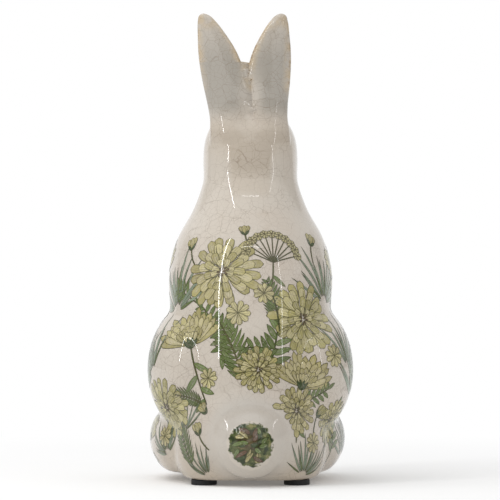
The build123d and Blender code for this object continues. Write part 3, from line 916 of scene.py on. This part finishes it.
def pad_piece(name, x, y):
    """Disc turned from a rounded profile: radius and height at each step, closed at both faces."""
    bend = np.linspace(0, np.pi / 2, 7)
    foot_r = PAD_RADIUS - PAD_FOOT_ROUND + PAD_FOOT_ROUND * np.sin(bend)
    foot_z = PAD_FOOT_ROUND - PAD_FOOT_ROUND * np.cos(bend)
    top_r = PAD_RADIUS - PAD_TOP_ROUND + PAD_TOP_ROUND * np.cos(bend)
    top_z = PAD_THICK - PAD_TOP_ROUND + PAD_TOP_ROUND * np.sin(bend)
    r = np.concatenate([[0.01, 3.0], foot_r, top_r, [3.0, 0.01]])
    z = np.concatenate([[0.0, 0.0], foot_z, top_z, [PAD_THICK, PAD_THICK]])
    angle = np.linspace(0, 2 * np.pi, 64, endpoint=False)
    across, along = x + r[:, None] * np.cos(angle), y + r[:, None] * np.sin(angle)
    rows = np.stack([across, along, z[:, None] + 0 * angle], 2)
    quads, corner_uv = ring_faces(len(r), 64)
    return mesh_piece(name, rows.reshape(-1, 3), quads, corner_uv)


pad_material, tone, shader, place = begin("black_foam_pad")
grain = cloud(tone, place, 0.5, 4.0)
tone.tree.links.new(grain.mix(FOAM_DARK, FOAM_PALE).socket, shader.inputs["Base Color"])
tone.tree.links.new((0.62 + 0.25 * grain).socket, shader.inputs["Roughness"])
bump = tone.node("ShaderNodeBump", {}, {"Height": grain, "Strength": 0.5, "Distance": 0.0002})
tone.tree.links.new(bump.socket, shader.inputs["Normal"])
for name, x, y in (
    ("pad_back_left", 21.5, 30.0),
    ("pad_back_right", -21.5, 30.0),
    ("pad_front_left", 20.0, -28.0),
    ("pad_front_right", -20.0, -28.0),
):
    disc = pad_piece(name + "_disc", x, y)
    disc.data.materials.append(pad_material)
    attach(disc, "root")
    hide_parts(name)

# Studio: a pale sweep under and behind the ornament, one broad soft light overhead, three narrow strips
# that draw the thin highlights, and a level camera behind the rabbit's back.
sweep_mesh = bpy.data.meshes.new("sweep")
sweep_mesh.from_pydata([(-4, -4, 0), (4, -4, 0), (4, 4, 0), (-4, 4, 0)], [], [(0, 1, 2, 3)])
sweep = bpy.data.objects.new("sweep", sweep_mesh)
bpy.context.collection.objects.link(sweep)
floor_material, tone, shader, place = begin("white_paper_sweep")
shader.inputs["Base Color"].default_value = (0.88, 0.88, 0.88, 1)
shader.inputs["Roughness"].default_value = 0.9
shader.inputs["Emission Color"].default_value = (1, 1, 1, 1)
shader.inputs["Emission Strength"].default_value = 0.12
white = tone.node("ShaderNodeEmission", {}, {"Color": (1, 1, 1, 1), "Strength": 1.0})
away = tone.node("ShaderNodeVectorMath", {"operation": "LENGTH"}, {0: place}, 1).ramp(110.0, 420.0)
sheet = tone.node("ShaderNodeMixShader", {}, {0: away, 1: Tone(tone.tree, shader.outputs[0]), 2: white})
tone.tree.links.new(sheet.socket, tone.tree.nodes["Material Output"].inputs["Surface"])
sweep.data.materials.append(floor_material)

world = bpy.data.worlds.new("studio")
bpy.context.scene.world = world
world.use_nodes = True
sky = Tone(world.node_tree)
world.node_tree.nodes.clear()
rays = world.node_tree.nodes.new("ShaderNodeLightPath")
seen = Tone(world.node_tree, rays.outputs["Is Camera Ray"])
mirrored = Tone(world.node_tree, rays.outputs["Is Glossy Ray"])
passed = Tone(world.node_tree, rays.outputs["Is Transmission Ray"])
toward = sky.node("ShaderNodeTexCoord", out=0)
level = sky.node("ShaderNodeVectorMath", {"operation": "MULTIPLY"}, {0: toward, 1: (1, 1, 0)})
level = sky.node("ShaderNodeVectorMath", {"operation": "NORMALIZE"}, {0: level})
behind = sky.node("ShaderNodeSeparateXYZ", {}, {0: level}, 1)
rise = sky.node("ShaderNodeSeparateXYZ", {}, {0: toward}, 2)
flags = behind.ramp(-0.80, -0.66) * (1 - rise.ramp(0.42, 0.50))
opening = behind.ramp(0.60, 0.68) * (1 - rise.ramp(0.42, 0.50))
room = 0.62 * flags + 0.24 * opening
strength = 0.62 + 0.38 * (seen + mirrored + passed) - mirrored * room
background = world.node_tree.nodes.new("ShaderNodeBackground")
background.inputs["Color"].default_value = (1, 1, 1, 1)
world.node_tree.links.new(strength.socket, background.inputs["Strength"])
output = world.node_tree.nodes.new("ShaderNodeOutputWorld")
world.node_tree.links.new(background.outputs[0], output.inputs["Surface"])


def soft_light(name, place, aim, wide, tall, power):
    """Rectangular area light at a place, turned to face an aim."""
    lamp = bpy.data.lights.new(name, "AREA")
    lamp.shape = "RECTANGLE"
    lamp.size, lamp.size_y, lamp.energy = wide, tall, power
    made = bpy.data.objects.new(name, lamp)
    bpy.context.collection.objects.link(made)
    made.location = place
    toward = np.subtract(aim, place)
    tip = np.arctan2(np.hypot(toward[0], toward[1]), -toward[2])
    made.rotation_euler = (tip, 0, np.arctan2(-toward[0], toward[1]))
    return made


soft_light("overhead", (0.45, 0.25, 1.2), (0, 0, 0.1), 1.2, 1.0, 6.5).visible_glossy = False
soft_light("strip_left", (0.62, 0.50, 0.93), (0, 0, 0.93), 0.026, 1.4, 2.2)
soft_light("strip_right", (-0.62, 0.50, 0.56), (0, 0, 0.56), 0.016, 0.75, 0.3)
soft_light("strip_top", (0.0, 0.60, 1.10), (0, 0, 0.16), 0.5, 0.016, 0.18)

camera_data = bpy.data.cameras.new("camera")
camera_data.lens = 243.8
camera_data.sensor_width = 36.0
camera = bpy.data.objects.new("camera", camera_data)
bpy.context.collection.objects.link(camera)
camera.location = (0.0002, 1.6, 0.1088)
camera.rotation_euler = (np.pi / 2, 0, np.pi)
bpy.context.scene.camera = camera
bpy.context.scene.view_settings.view_transform = "Standard"
